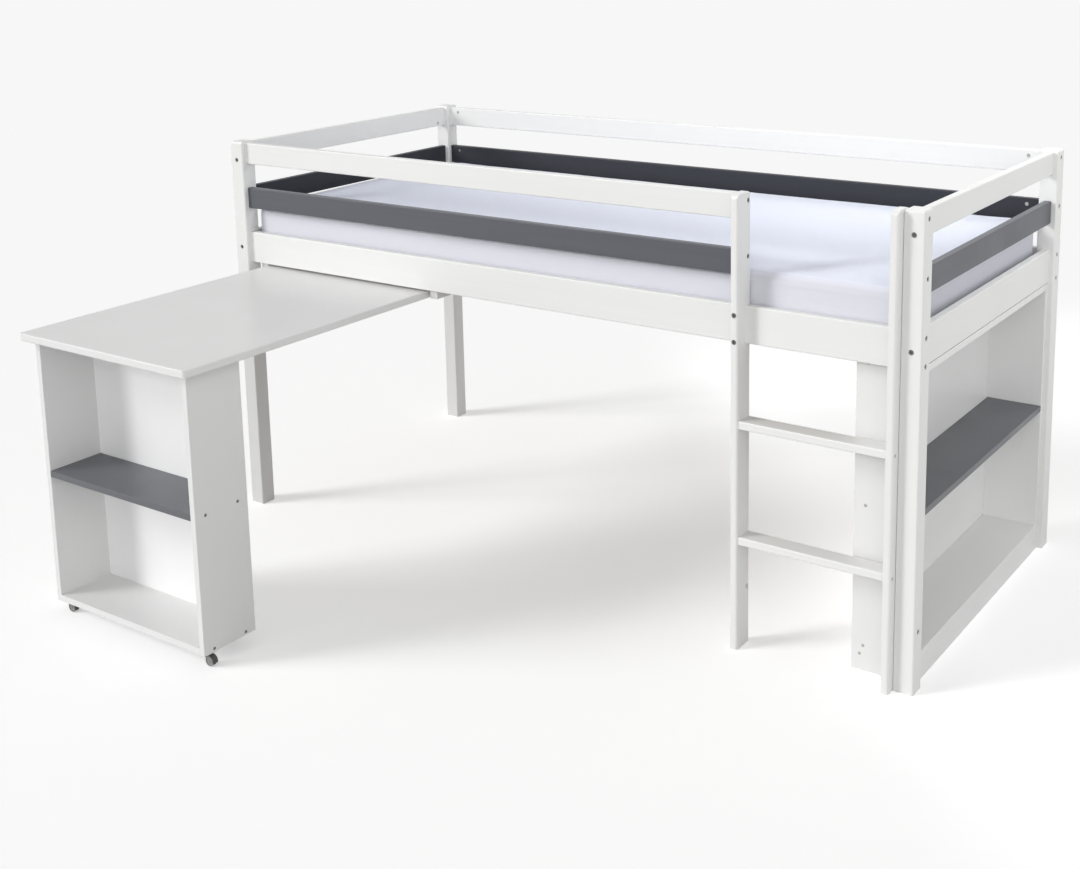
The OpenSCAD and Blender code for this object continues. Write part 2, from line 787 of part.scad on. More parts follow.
module stile(x) {
    difference() {
        translate([x, stile_front, 0]) upright(stile_t, stile_d, bed_h, stile_top_r, edge_r)
            intersection() {
                soft_rect(stile_t, stile_d + stile_r, stile_r);
                translate([0, -edge_r]) soft_rect(stile_t, stile_d + edge_r, edge_r);
            }
        // Notch over the side rail
        translate([x - over, board_in, deep_z])
            cube([stile_t + 2 * over, board_t + over, deep_h]);
        screw_bores(tread_screws, screw_d);
    }
}

module ladder_stile_left() {
    color(WHITE) in_frame() difference() {
        stile(ladder_x0);
        rail_bores(TOP_FRONT, [1]);
        rail_bores(GREY_FRONT, [1]);
        side_bolt_places() bolt_bore(side_bolt_l);
        // The stiles are drilled alike, so the left one has a spare hole low down
        translate([ladder_x0 + stile_t, front_y, ladder_bolt_z])
            rotate(TO_LEFT) bolt_bore(stile_t);
    }
}

module ladder_stile_right() {
    color(WHITE) in_frame() difference() {
        stile(ladder_x1);
        post_inserts() insert_bore();
    }
}

module tread(i) {
    tread_x = ladder_x0 + stile_t;
    color(WHITE) in_frame() difference() {
        bar_x([tread_x, tread_front, tread_z[i] - tread_t / 2],
              ladder_x1 - tread_x, tread_d, tread_t, edge_r);
        screw_bores(tread_screws, screw_d);
    }
}

module ladder_tread_lower() { tread(0); }
module ladder_tread_upper() { tread(1); }

module ladder_screws() {
    color(STEEL) in_frame() screws(tread_screws, screw_d);
}

// ---------------------------------------------------------------- bookcase

module bookcase_side(y) {
    color(WHITE) in_frame() difference() {
        bar_z([book_x0, y, 0], book_h, book_d, panel_t, panel_r);
        // Groove for the back panel
        translate([book_x0 + back_in, y == book_y0 ? y + panel_t - groove_d : y - over,
                   -over])
            cube([back_t + fit, groove_d + over, book_h + 2 * over]);
        screw_bores(book_screws, screw_d);
    }
}

module bookcase_side_front() { bookcase_side(book_y0); }
module bookcase_side_back() { bookcase_side(book_y1 - panel_t); }

book_in_y = book_y0 + panel_t;
book_in_l = book_y1 - book_y0 - 2 * panel_t;
book_in_d = book_x1 - book_back_x - fit;

module bookcase_board(z, colour = WHITE) {
    color(colour) in_frame() difference() {
        bar_y([book_back_x + fit, book_in_y, z], book_in_l, book_in_d, panel_t, panel_r);
        screw_bores(book_screws, screw_d);
    }
}

module bookcase_top() { bookcase_board(book_h - panel_t); }
module bookcase_bottom() { bookcase_board(plinth_h); }
module bookcase_shelf() { bookcase_board(book_shelf_z, GREY); }

module bookcase_back_panel() {
    into = groove_d - fit;
    color(WHITE) in_frame()
        translate([book_x0 + back_in, book_in_y - into, plinth_h])
            cube([back_t, book_in_l + 2 * into, book_h - plinth_h]);
}

module bookcase_plinths() {
    color(WHITE) in_frame() difference() {
        for (x = [book_x0 + plinth_in, book_x1 - panel_t])
            bar_y([x, book_in_y, 0], book_in_l, panel_t, plinth_h, panel_r);
        screw_bores(book_screws, screw_d);
    }
}

module bookcase_screws() {
    color(STEEL) in_frame() screws(book_screws, screw_d);
}

// ---------------------------------------------------------------- desk runners

// Each runner has a routed groove on the side of the desk, with round ends that stop
// the guide pins
module desk_runner(side) {
    r = pin_d / 2 + pin_play;
    face_x = side ? runner_x0[1] : runner_x0[0] + runner_w;
    slot_x = side ? face_x - over : face_x - slot_d;
    stop_y = [board_back + slot_front, runner_y1 - slot_rear];
    color(WHITE) in_frame() difference() {
        bar_y([runner_x0[side], board_back, runner_z], runner_y1 - board_back,
              runner_w, runner_h, runner_r);
        translate([slot_x, 0, pin_z]) rotate([90, 0, 90]) linear_extrude(slot_d + over) {
            translate([stop_y[0], -r]) square([stop_y[1] - stop_y[0], 2 * r]);
            for (y = stop_y) translate([y, 0]) circle(r);
        }
        screw_bores(runner_screws, screw_d);
    }
}

module desk_runner_left() { desk_runner(0); }
module desk_runner_right() { desk_runner(1); }

module runner_screws() {
    color(STEEL) in_frame() screws(runner_screws, screw_d);
}

// ---------------------------------------------------------------- desk

// Distance of a pin's end from the bottom of its groove
pin_end_gap = 2;
pin_l = pin_grip + runner_gap + slot_d - pin_end_gap;

// Guide pins: +Z runs outwards from inside the desk top
module pin_places() {
    for (side = [0, 1]) translate([desk_in + side * desk_w, pin_y, pin_z])
        rotate(side ? TO_RIGHT : TO_LEFT) translate([0, 0, -pin_grip]) children();
}

// Depth of the dowels in the desk top, and their distance from the unit's edges
desk_dowel_up = 12;
desk_dowel_in = 35;
module desk_dowel_places() {
    for (x = [unit_x0 + panel_t / 2, unit_x1 - panel_t / 2],
         y = [unit_y0 + desk_dowel_in, unit_y1 - desk_dowel_in])
        translate([x, y, desk_under + desk_dowel_up - dowel_l]) children();
}

module dowel_bore() {
    translate([0, 0, -fit]) cylinder(h = dowel_l + 2 * fit, d = dowel_d + 2 * fit);
}

module desk_top() {
    color(WHITE) in_frame() difference() {
        translate([desk_in, desk_y0, desk_under]) intersection() {
            linear_extrude(desk_t) soft_rect(desk_w, desk_l, desk_corner_r);
            rotate([90, 0, 90]) linear_extrude(desk_w) soft_rect(desk_l, desk_t, edge_r);
            translate([0, desk_l, 0]) rotate([90, 0, 0])
                linear_extrude(desk_l) soft_rect(desk_w, desk_t, edge_r);
        }
        pin_places() translate([0, 0, -fit])
            cylinder(h = pin_grip + fit + over, d = pin_d + 2 * fit);
        desk_dowel_places() dowel_bore();
    }
}

module desk_side(x) {
    color(WHITE) in_frame() difference() {
        bar_z([x, unit_y0, castor_h], desk_under - castor_h, panel_t, unit_d, panel_r);
        // Groove for the back panel
        translate([x == unit_x0 ? x + panel_t - groove_d : x - over, unit_back_y - fit,
                   castor_h - over])
            cube([groove_d + over, back_t + fit, desk_under - castor_h + 2 * over]);
        screw_bores(unit_screws, screw_d);
        screw_bores(castor_screw_at, castor_screw_d);
        desk_dowel_places() dowel_bore();
    }
}

module desk_side_left() { desk_side(unit_x0); }
module desk_side_right() { desk_side(unit_x1 - panel_t); }

unit_in_x = unit_x0 + panel_t;
unit_in_l = unit_x1 - unit_x0 - 2 * panel_t;
unit_in_d = unit_back_y - fit - unit_y0;

module desk_board(z, colour = WHITE) {
    color(colour) in_frame() difference() {
        bar_x([unit_in_x, unit_y0, z], unit_in_l, unit_in_d, panel_t, panel_r);
        screw_bores(unit_screws, screw_d);
        screw_bores(castor_screw_at, castor_screw_d);
    }
}

module desk_bottom() { desk_board(castor_h); }
module desk_shelf() { desk_board(unit_shelf_z, GREY); }

module desk_back_panel() {
    into = groove_d - fit;
    color(WHITE) in_frame() difference() {
        translate([unit_in_x - into, unit_back_y, castor_h])
            cube([unit_in_l + 2 * into, back_t, desk_under - castor_h]);
        screw_bores(castor_screw_at, castor_screw_d);
    }
}

module desk_guide_pins() {
    color(STEEL) in_frame() pin_places() cylinder(h = pin_l, d = pin_d);
}

module desk_dowels() {
    color(BEECH) in_frame() desk_dowel_places() cylinder(h = dowel_l, d = dowel_d);
}

module desk_screws() {
    color(STEEL) in_frame() screws(unit_screws, screw_d);
}

// ---------------------------------------------------------------- castors

// Each castor: a plate with a collar and a stem, a hooded body that swivels on the
// stem, and a pair of wheels on one axle. Local frame: the swivel axis is Z, the
// floor is z = 0 and the wheels trail towards +X.
wheel_r = wheel_d / 2;
plate_r = 4;
collar_h = 1.2;
collar_w = 3.5;
collar_r = stem_d / 2 + collar_w;
boss_top = castor_h - plate_t - collar_h - pass;
boss_r = web_w / 2;
// The stem reaches down to this share of the wheels' radius, over this much of the boss
stem_foot_share = 0.75;
stem_foot = wheel_r * stem_foot_share;
boss_foot_t = 2;
// Wall of the body round the axle
axle_wall = 3.5;
// Clearance between the wheels and their hood
hood_gap = 0.7;
hood_in = wheel_r + hood_gap;
hood_w = web_w + 2 * (wheel_w + pass);
// The wheels run this far from the web
wheel_gap = pass / 2;
// The hood's two ends, as angles round the axle
hood_from = -12;
hood_to = 150;
// Thickness of a wheel's hub over the axle's end
hub_cap = 1;

module at_castor(i) {
    translate([castor_at[i][0], castor_at[i][1], 0]) children();
}

module castor_plate() {
    translate([-plate_w / 2, -plate_w / 2, castor_h - plate_t])
        linear_extrude(plate_t) soft_rect(plate_w, plate_w, plate_r);
    translate([0, 0, castor_h - plate_t - collar_h])
        cylinder(h = collar_h + plate_t / 2, r = collar_r);
    translate([0, 0, stem_foot])
        cylinder(h = castor_h - plate_t - stem_foot, d = stem_d);
}

module castor_plates() {
    color(STEEL) in_frame() difference() {
        for (i = [0 : 3]) at_castor(i) castor_plate();
        screw_bores(castor_screw_at, castor_screw_d);
    }
}

module castor_screws() {
    color(STEEL) in_frame() screws(castor_screw_at, castor_screw_d);
}

// Slice of the plane between two angles, out past the hood
slice_steps = 4;
module slice(from, to) {
    polygon([[0, 0], for (k = [0 : slice_steps])
        let (a = from + (to - from) * k / slice_steps)
        2 * wheel_d * [cos(a), sin(a)]]);
}

module castor_body(i) {
    color(DARK) in_frame() at_castor(i) difference() {
        union() {
            translate([castor_trail, 0, wheel_r]) rotate([90, 0, 0]) {
                // Hood over the wheels
                linear_extrude(hood_w, center = true) intersection() {
                    difference() {
                        circle(hood_in + hood_t);
                        circle(hood_in);
                    }
                    slice(hood_from, hood_to);
                }
                // Web that carries the hood and the axle
                linear_extrude(web_w, center = true) {
                    intersection() {
                        circle(hood_in + hood_t / 2);
                        slice(hood_from, hood_to);
                    }
                    circle(axle_d / 2 + axle_wall);
                }
            }
            // Boss round the stem
            translate([0, 0, stem_foot - boss_foot_t])
                cylinder(h = boss_top - stem_foot + boss_foot_t, r = boss_r);
        }
        translate([0, 0, stem_foot - run])
            cylinder(h = castor_h, d = stem_d + 2 * run);
        translate([castor_trail, 0, wheel_r]) rotate([90, 0, 0])
            cylinder(h = 2 * hood_w, d = axle_d + 2 * run, center = true);
    }
}

module castor_body_front_left() { castor_body(0); }
module castor_body_front_right() { castor_body(1); }
module castor_body_rear_left() { castor_body(2); }
module castor_body_rear_right() { castor_body(3); }

// One wheel, its inner face at z = 0: rounded tread, dished outer face, raised hub
module wheel() {
    hub_wall = 2;
    hub_r = axle_d / 2 + hub_wall;
    rim_w = 3;
    shoulder = 1.5;
    difference() {
        rotate_extrude() {
            square([wheel_r - shoulder, wheel_w]);
            square([wheel_r, wheel_w - shoulder]);
            translate([wheel_r - shoulder, wheel_w - shoulder]) circle(shoulder);
        }
        translate([0, 0, wheel_w - shoulder]) rotate_extrude()
            translate([hub_r, 0]) square([wheel_r - rim_w - hub_r, shoulder + over]);
        translate([0, 0, -over]) cylinder(h = wheel_w - hub_cap + over, d = axle_d + run);
    }
}

module castor_wheels(i) {
    axle_l = web_w + 2 * (wheel_gap + wheel_w - hub_cap - fit);
    color(GREY) in_frame() at_castor(i)
        translate([castor_trail, 0, wheel_r]) rotate([90, 0, 0]) {
            for (side = [0, 1]) mirror([0, 0, side])
                translate([0, 0, web_w / 2 + wheel_gap]) wheel();
            color(STEEL) cylinder(h = axle_l, d = axle_d, center = true);
        }
}

module castor_wheels_front_left() { castor_wheels(0); }
module castor_wheels_front_right() { castor_wheels(1); }
module castor_wheels_rear_left() { castor_wheels(2); }
module castor_wheels_rear_right() { castor_wheels(3); }

post_front_left();
post_front_right();
post_back_left();
post_back_right();
top_rail_front();
top_rail_back();
top_rail_left();
top_rail_right();
grey_rail_front();
grey_rail_back();
grey_rail_left();
grey_rail_right();
side_rail_front();
side_rail_back();
end_board_left();
end_board_right();
slat_ledgers();
slats();
base_screws();
mattress();
ladder_stile_left();
ladder_stile_right();
ladder_tread_lower();
ladder_tread_upper();
ladder_screws();
frame_bolts();
barrel_nuts();
insert_nuts();
rail_dowels();
bookcase_side_front();
bookcase_side_back();
bookcase_back_panel();
bookcase_top();
bookcase_shelf();
bookcase_bottom();
bookcase_plinths();
bookcase_screws();
desk_runner_left();
desk_runner_right();
runner_screws();
desk_top();
desk_side_left();
desk_side_right();
desk_back_panel();
desk_shelf();
desk_bottom();
desk_guide_pins();
desk_dowels();
desk_screws();
castor_plates();
castor_screws();
castor_body_front_left();
castor_body_front_right();
castor_body_rear_left();
castor_body_rear_right();
castor_wheels_front_left();
castor_wheels_front_right();
castor_wheels_rear_left();
castor_wheels_rear_right();
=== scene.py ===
"""Cabin bed with a slide-out desk: materials, mattress, light and camera.

Metres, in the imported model's frame: +X along the bed, +Y to the back, +Z up, the floor
at z = 0. Angles are in degrees, and colours are linear.
"""
import itertools
import json
import math

import bpy
from mathutils import Matrix, Vector, noise


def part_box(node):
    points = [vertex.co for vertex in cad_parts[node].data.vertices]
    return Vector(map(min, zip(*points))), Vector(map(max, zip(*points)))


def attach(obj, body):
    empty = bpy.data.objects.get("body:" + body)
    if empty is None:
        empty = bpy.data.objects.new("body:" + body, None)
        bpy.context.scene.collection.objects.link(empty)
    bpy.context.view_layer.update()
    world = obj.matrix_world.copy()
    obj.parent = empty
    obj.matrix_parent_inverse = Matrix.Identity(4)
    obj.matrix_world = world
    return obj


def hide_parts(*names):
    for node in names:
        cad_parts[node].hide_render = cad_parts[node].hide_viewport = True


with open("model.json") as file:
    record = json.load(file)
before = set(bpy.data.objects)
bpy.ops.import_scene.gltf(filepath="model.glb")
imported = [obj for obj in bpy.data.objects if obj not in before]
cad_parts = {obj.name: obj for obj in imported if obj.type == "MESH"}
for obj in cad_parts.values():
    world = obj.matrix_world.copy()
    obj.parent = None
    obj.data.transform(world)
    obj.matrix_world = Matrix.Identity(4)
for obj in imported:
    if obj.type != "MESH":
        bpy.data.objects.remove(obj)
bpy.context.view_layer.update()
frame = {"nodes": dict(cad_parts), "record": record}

NODES = frame["nodes"]
AXES = "XYZ"


# ---------------------------------------------------------------- camera

# Place, viewing direction and lens, solved from the object's straight edges. Its uprights
# ask for a larger shift down, but with more than this the other views cut the object off.
CAMERA_AT = Vector((2.153254, -2.941871, 1.703073))
VIEW_AZIMUTH = 124.63003
VIEW_ELEVATION = -10.66156
VIEW_ROLL = -0.9849
SHIFT = (-0.038585, -0.22)
# Both in millimetres
SENSOR_WIDTH = 36
LENS = 48.64085
# The camera sees what lies between these distances
NEAREST, FARTHEST = 0.05, 200


def direction(bearing, height):
    """Unit vector on that bearing (0 is +X, 90 is +Y), that far above the horizon."""
    around, above = math.radians(bearing), math.radians(height)
    return Vector((
        math.cos(above) * math.cos(around),
        math.cos(above) * math.sin(around),
        math.sin(above),
    ))


def make_camera():
    ahead = direction(VIEW_AZIMUTH, VIEW_ELEVATION)
    roll = math.radians(VIEW_ROLL)
    level_right = ahead.cross(Vector((0, 0, 1))).normalized()
    level_up = level_right.cross(ahead)
    right = level_right * math.cos(roll) + level_up * math.sin(roll)
    up = level_up * math.cos(roll) - level_right * math.sin(roll)
    data = bpy.data.cameras.new("camera")
    data.sensor_width = SENSOR_WIDTH
    data.sensor_fit = "HORIZONTAL"
    data.lens = LENS
    data.shift_x, data.shift_y = SHIFT
    data.clip_start, data.clip_end = NEAREST, FARTHEST
    camera = bpy.data.objects.new("camera", data)
    turn = Matrix((right, up, -ahead)).transposed()
    camera.matrix_world = Matrix.Translation(CAMERA_AT) @ turn.to_4x4()
    bpy.context.scene.collection.objects.link(camera)
    bpy.context.scene.camera = camera


make_camera()


# ---------------------------------------------------------------- shader helpers

# Sockets of a Mix node that carry colours
MIX_A, MIX_B, MIX_RESULT = 6, 7, 2
# Window that most of a noise's values lie in
NOISE_SPAN = (0.3, 0.7)


class Shader:
    """A node material, built from short calls."""

    def __init__(self, name):
        self.material = bpy.data.materials.new(name)
        self.material.use_nodes = True
        self.tree = self.material.node_tree
        self.bsdf = self.tree.nodes["Principled BSDF"]
        self.place = self.add("ShaderNodeTexCoord").outputs["Object"]

    def add(self, kind, **settings):
        made = self.tree.nodes.new(kind)
        for key, value in settings.items():
            setattr(made, key, value)
        return made

    def link(self, source, socket):
        """Feeds a socket from another, or sets it to a number, direction or colour."""
        if hasattr(source, "links"):
            self.tree.links.new(source, socket)
        else:
            socket.default_value = source

    def feed(self, node, sources):
        for name, source in sources.items():
            self.link(source, node.inputs[name])

    def set(self, name, source):
        self.link(source, self.bsdf.inputs[name])

    def stretched(self, axis, length, width):
        """Coordinates for shapes of that length along the axis and that width across it."""
        scale = tuple(1 / length if a == axis else 1 / width for a in AXES)
        made = self.add("ShaderNodeMapping")
        self.feed(made, {"Vector": self.place, "Scale": scale})
        return made.outputs["Vector"]

    def noise(self, per_metre, detail, roughness=0.5, at=None, distortion=0.0):
        made = self.add("ShaderNodeTexNoise")
        self.feed(made, {
            "Vector": at or self.place,
            "Scale": per_metre,
            "Detail": detail,
            "Roughness": roughness,
            "Distortion": distortion,
        })
        return made.outputs["Fac"]

    def streaks(self, axis, length, width, detail, roughness=0.5, distortion=0.0):
        """Noise drawn out along an axis, to shapes of about that length and width."""
        return self.noise(1, detail, roughness, self.stretched(axis, length, width), distortion)

    def bands(self, heading, scale, distortion, detail, at=None):
        """Parallel waves, one behind the other along that heading."""
        made = self.add("ShaderNodeTexWave", wave_type="BANDS", bands_direction=heading)
        self.feed(made, {
            "Vector": at or self.place,
            "Scale": scale,
            "Distortion": distortion,
            "Detail": detail,
        })
        return made.outputs["Fac"]

    def scatter(self, at):
        """Distance from the nearest of many scattered points."""
        made = self.add("ShaderNodeTexVoronoi", feature="F1")
        self.feed(made, {"Vector": at, "Scale": 1})
        return made.outputs["Distance"]

    def fitted(self, source, low, high, window=(0, 1), blend="LINEAR"):
        """The source's values in the window, taken to low at its start and high at its end."""
        made = self.add("ShaderNodeMapRange", interpolation_type=blend)
        self.feed(made, {
            "Value": source,
            "From Min": window[0],
            "From Max": window[1],
            "To Min": low,
            "To Max": high,
        })
        return made.outputs["Result"]

    def math(self, operation, a, b=0.0):
        made = self.add("ShaderNodeMath", operation=operation)
        self.link(a, made.inputs[0])
        self.link(b, made.inputs[1])
        return made.outputs[0]

    def distance_along(self, heading):
        """How far the surface's point lies from the origin along that heading."""
        made = self.add("ShaderNodeVectorMath", operation="DOT_PRODUCT")
        self.link(self.place, made.inputs[0])
        self.link(heading, made.inputs[1])
        return made.outputs["Value"]

    def facing_up(self):
        """The upward share of the surface's normal."""
        split = self.add("ShaderNodeSeparateXYZ")
        self.link(self.add("ShaderNodeNewGeometry").outputs["Normal"], split.inputs[0])
        return split.outputs["Z"]

    def mix(self, factor, a, b):
        made = self.add("ShaderNodeMix", data_type="RGBA")
        self.link(factor, made.inputs["Factor"])
        self.link(a, made.inputs[MIX_A])
        self.link(b, made.inputs[MIX_B])
        return made.outputs[MIX_RESULT]

    def bump(self, height, depth, over=None):
        made = self.add("ShaderNodeBump")
        self.feed(made, {"Distance": depth, "Height": height})
        if over is not None:
            self.link(over, made.inputs["Normal"])
        return made.outputs["Normal"]

    def finish(self, normal=None):
        if normal is not None:
            self.set("Normal", normal)
        return self.material


def colour(rgb, tone=1.0):
    """That colour, opaque, lighter or darker by the tone."""
    return (*(c * tone for c in rgb), 1.0)


# ---------------------------------------------------------------- materials

WHITE_PAINT = (0.80, 0.80, 0.788)
WHITE_BOARD = (0.79, 0.79, 0.785)
# A whiter copy of the board's paint for the thin back panel: painted light inside the desk unit
LIT_WHITE_THIN_BOARD = (0.90, 0.90, 0.90)
GREY_PAINT = (0.112, 0.116, 0.132)
# A darker copy of the grey paint: painted shade on the back and left grey rails
SHADED_GREY_PAINT = (0.040, 0.042, 0.051)
GREY_BOARD = (0.136, 0.139, 0.154)
PINE_LIGHT, PINE_DARK = (0.62, 0.42, 0.22), (0.42, 0.24, 0.10)
BEECH_LIGHT, BEECH_DARK = (0.58, 0.38, 0.22), (0.44, 0.26, 0.14)
STEEL_LIGHT, STEEL_DARK = (0.60, 0.58, 0.54), (0.34, 0.33, 0.31)
# A darker copy of the steel for bolt and screw heads: painted shade of their recesses
SHADED_STEEL_LIGHT, SHADED_STEEL_DARK = (0.25, 0.25, 0.25), (0.11, 0.11, 0.11)
SHEET_LIGHT, SHEET_DARK = (0.85, 0.87, 0.965), (0.83, 0.85, 0.95)
SHEEN_TINT = (0.80, 0.86, 1.0)
# Greyer border cloth, which also stands for painted shade on the mattress's sides
BORDER_CLOTH_AND_SHADE = (0.70, 0.70, 0.76)
CASTOR_DARK = (0.055, 0.057, 0.054)
CASTOR_WHEEL = (0.26, 0.265, 0.255)

# Lacquered wood and board: its colour, how far its tone strays with the grain, how deep the
# grain is, its roughness from the smoothest patch to the dullest, and how strong its shine
LACQUERED = {
    "white_timber": (WHITE_PAINT, 0.014, 0.00006, (0.31, 0.42), 0.45),
    "white_board": (WHITE_BOARD, 0.006, 0.00002, (0.28, 0.39), 0.45),
    # Painted light: the thin back panel whiter than the other boards
    "lit_thin_board": (LIT_WHITE_THIN_BOARD, 0.006, 0.00002, (0.35, 0.46), 0.45),
    "grey_lacquer": (GREY_PAINT, 0.05, 0.00005, (0.31, 0.42), 0.2),
    # Painted shade: the grey lacquer made darker for the back and left rails
    "shaded_grey_lacquer": (SHADED_GREY_PAINT, 0.05, 0.00005, (0.35, 0.46), 0.15),
    "grey_board": (GREY_BOARD, 0.03, 0.00003, (0.31, 0.42), 0.3),
}
# Share of the fine grain in that tone, against the broad bands
GRAIN_SHARE = 0.45
DIMPLE_DEPTH = 0.00002

# Bare wood: its two tones and the width of its growth rings
BARE = {
    "bare_pine": (PINE_LIGHT, PINE_DARK, 0.012),
    "bare_beech": (BEECH_LIGHT, BEECH_DARK, 0.004),
}
# How many widths long a ring's figure runs
RING_STRETCH = 24
# How much the rings, pores and knots colour the wood, and the tone of the last two
RING_SHARE, PORE_SHARE, KNOT_SHARE = 0.75, 0.25, 0.8
PORE_TONE, KNOT_TONE = 0.7, 0.45
# Where a knot is whole and where it has ended, and which part of the pores' noise shows
KNOT_EDGE, PORE_SPAN = (0.05, 0.11), (0.5, 0.75)
BARE_ROUGH = (0.5, 0.68)
PORE_DEPTH = 0.00015

STEELS = {
    "steel": (STEEL_LIGHT, STEEL_DARK),
    # Painted shade: the bolt and screw heads made dark as their recesses' shade
    "recess_shaded_steel": (SHADED_STEEL_LIGHT, SHADED_STEEL_DARK),
}
STEEL_SPAN = (0.35, 0.65)
STEEL_ROUGH = (0.26, 0.48)
TURNING_DEPTH = 0.00001

# Moulded plastic: its colour and its roughness, from the smoothest grain to the dullest
PLASTICS = {
    "castor_black": (CASTOR_DARK, (0.36, 0.50)),
    "castor_grey": (CASTOR_WHEEL, (0.32, 0.46)),
}
SCUFF_SPAN, SCUFF_TONE = (0.55, 0.8), 1.5
SPARK_DEPTH = 0.00002

# Distance between the sheet's threads, and the length of a wave of scale 1
THREAD = 0.0011
WAVE_LENGTH = 0.314
THREAD_DEPTH, CREASE_DEPTH = 0.0002, 0.0016
SHEET_ROUGH = (0.78, 0.92)
# The border's cloth is where the surface faces up by less than this, the top's by more. So
# split by facing, the two also paint shade on the sides and light on the top
BORDER_AND_SHADE_TO_TOP = (0.55, 0.92)


def lacquered_wood(name, axis, rgb, streak, grain_depth, rough, shine):
    """Lacquer over wood: the grain shows faintly through it, and a roller's fine dimples
    break up its shine."""
    s = Shader(name)
    grain = s.streaks(axis, length=0.16, width=0.0035, detail=7, roughness=0.62, distortion=0.3)
    bands = s.streaks(axis, length=0.9, width=0.03, detail=2, distortion=0.8)
    dimples = s.noise(per_metre=900, detail=2)
    patches = s.noise(per_metre=7, detail=3)
    grain_part = s.math("MULTIPLY", grain, GRAIN_SHARE)
    bands_part = s.math("MULTIPLY", bands, 1 - GRAIN_SHARE)
    tone = s.fitted(s.math("ADD", grain_part, bands_part), 0, 1, NOISE_SPAN)
    s.set("Base Color", s.mix(tone, colour(rgb, 1 - streak), colour(rgb, 1 + streak)))
    s.set("Roughness", s.fitted(patches, *rough, NOISE_SPAN))
    s.set("Specular IOR Level", shine)
    return s.finish(s.bump(grain, grain_depth, over=s.bump(dimples, DIMPLE_DEPTH)))


def bare_wood(name, axis, light, dark, ring_width):
    """Planed softwood or beech: growth rings, fine pores along the grain, a few knots."""
    s = Shader(name)
    ring_place = s.stretched(axis, ring_width * RING_STRETCH, ring_width)
    rings = s.bands("DIAGONAL", scale=0.35, distortion=5, detail=3, at=ring_place)
    pores = s.streaks(axis, length=0.05, width=0.0012, detail=6, roughness=0.65)
    knots = s.scatter(s.stretched(axis, length=0.34, width=0.11))
    wood = s.mix(s.fitted(rings, 0, RING_SHARE), colour(light), colour(dark))
    pored = s.fitted(pores, 0, PORE_SHARE, PORE_SPAN)
    wood = s.mix(pored, wood, colour(dark, PORE_TONE))
    knotted = s.fitted(knots, KNOT_SHARE, 0, KNOT_EDGE)
    s.set("Base Color", s.mix(knotted, wood, colour(dark, KNOT_TONE)))
    s.set("Roughness", s.fitted(pores, *BARE_ROUGH))
    return s.finish(s.bump(pores, PORE_DEPTH))


def steel(name, light, dark):
    """Plated steel with fine turning marks and dull patches; its darker copy paints the shade
    of the bolts' recesses on their heads.
    """
    s = Shader(name)
    marks = s.noise(per_metre=2600, detail=3, roughness=0.6)
    patches = s.noise(per_metre=420, detail=3, roughness=0.55)
    tone = s.fitted(patches, 0, 1, STEEL_SPAN)
    s.set("Base Color", s.mix(tone, colour(dark), colour(light)))
    s.set("Metallic", 1.0)
    s.set("Roughness", s.fitted(marks, *STEEL_ROUGH))
    return s.finish(s.bump(marks, TURNING_DEPTH))


def moulded_plastic(name, rgb, rough):
    """Spark-eroded nylon: a fine grain all over, and paler scuffs."""
    s = Shader(name)
    texture = s.noise(per_metre=3200, detail=2)
    scuffs = s.fitted(s.noise(per_metre=160, detail=5, roughness=0.7), 0, 1, SCUFF_SPAN)
    s.set("Base Color", s.mix(scuffs, colour(rgb), colour(rgb, SCUFF_TONE)))
    s.set("Roughness", s.fitted(texture, *rough))
    return s.finish(s.bump(texture, SPARK_DEPTH))


def cotton_sheet(name):
    """Fitted cotton sheet: plain weave, a slightly uneven bluish white, soft creases. Its
    border, down the mattress's sides, is of a greyer cloth; split from the top by which way
    the surface faces, it also paints shade on the sides, and the top's colour paints light."""
    s = Shader(name)
    weft, warp = (s.bands(a, WAVE_LENGTH / THREAD, distortion=0.6, detail=1) for a in "XY")
    threads = s.math("MULTIPLY", weft, warp)
    creases = s.streaks("X", length=0.11, width=0.034, detail=4, roughness=0.55, distortion=1.2)
    blotches = s.fitted(s.noise(per_metre=3.2, detail=3), 0, 1, NOISE_SPAN)
    top = s.mix(blotches, colour(SHEET_DARK), colour(SHEET_LIGHT))
    # Split by facing: the lighter top paints light and the greyer border paints shade, over the
    # cloths' own colours
    top_cloth_and_light = s.fitted(s.facing_up(), 0, 1, BORDER_AND_SHADE_TO_TOP)
    s.set("Base Color", s.mix(top_cloth_and_light, colour(BORDER_CLOTH_AND_SHADE), top))
    s.set("Roughness", s.fitted(threads, *SHEET_ROUGH))
    s.set("Specular IOR Level", 0.2)
    s.set("Sheen Weight", 1.0)
    s.set("Sheen Roughness", 0.35)
    s.set("Sheen Tint", colour(SHEEN_TINT))
    return s.finish(s.bump(threads, THREAD_DEPTH, over=s.bump(creases, CREASE_DEPTH)))


def make_materials():
    """Materials by name. Wood has one for each axis that its grain can run along."""
    made = {"mattress_cover": cotton_sheet("mattress_cover")}
    for name, facts in STEELS.items():
        made[name] = steel(name, *facts)
    for name, facts in PLASTICS.items():
        made[name] = moulded_plastic(name, *facts)
    for axis in AXES:
        for name, facts in LACQUERED.items():
            made[name, axis] = lacquered_wood(f"{name}_{axis}", axis, *facts)
        for name, facts in BARE.items():
            made[name, axis] = bare_wood(f"{name}_{axis}", axis, *facts)
    return made


MATERIALS = make_materials()

# Nodes of several pieces, whose grain doesn't run along the node's longest side
GRAIN_AXIS = {"slats": "Y", "rail_dowels": "X", "desk_dowels": "Z"}


def grain_axis(node):
    lo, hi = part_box(node)
    longest = max(range(3), key=lambda a: hi[a] - lo[a])
    return GRAIN_AXIS.get(node, AXES[longest])


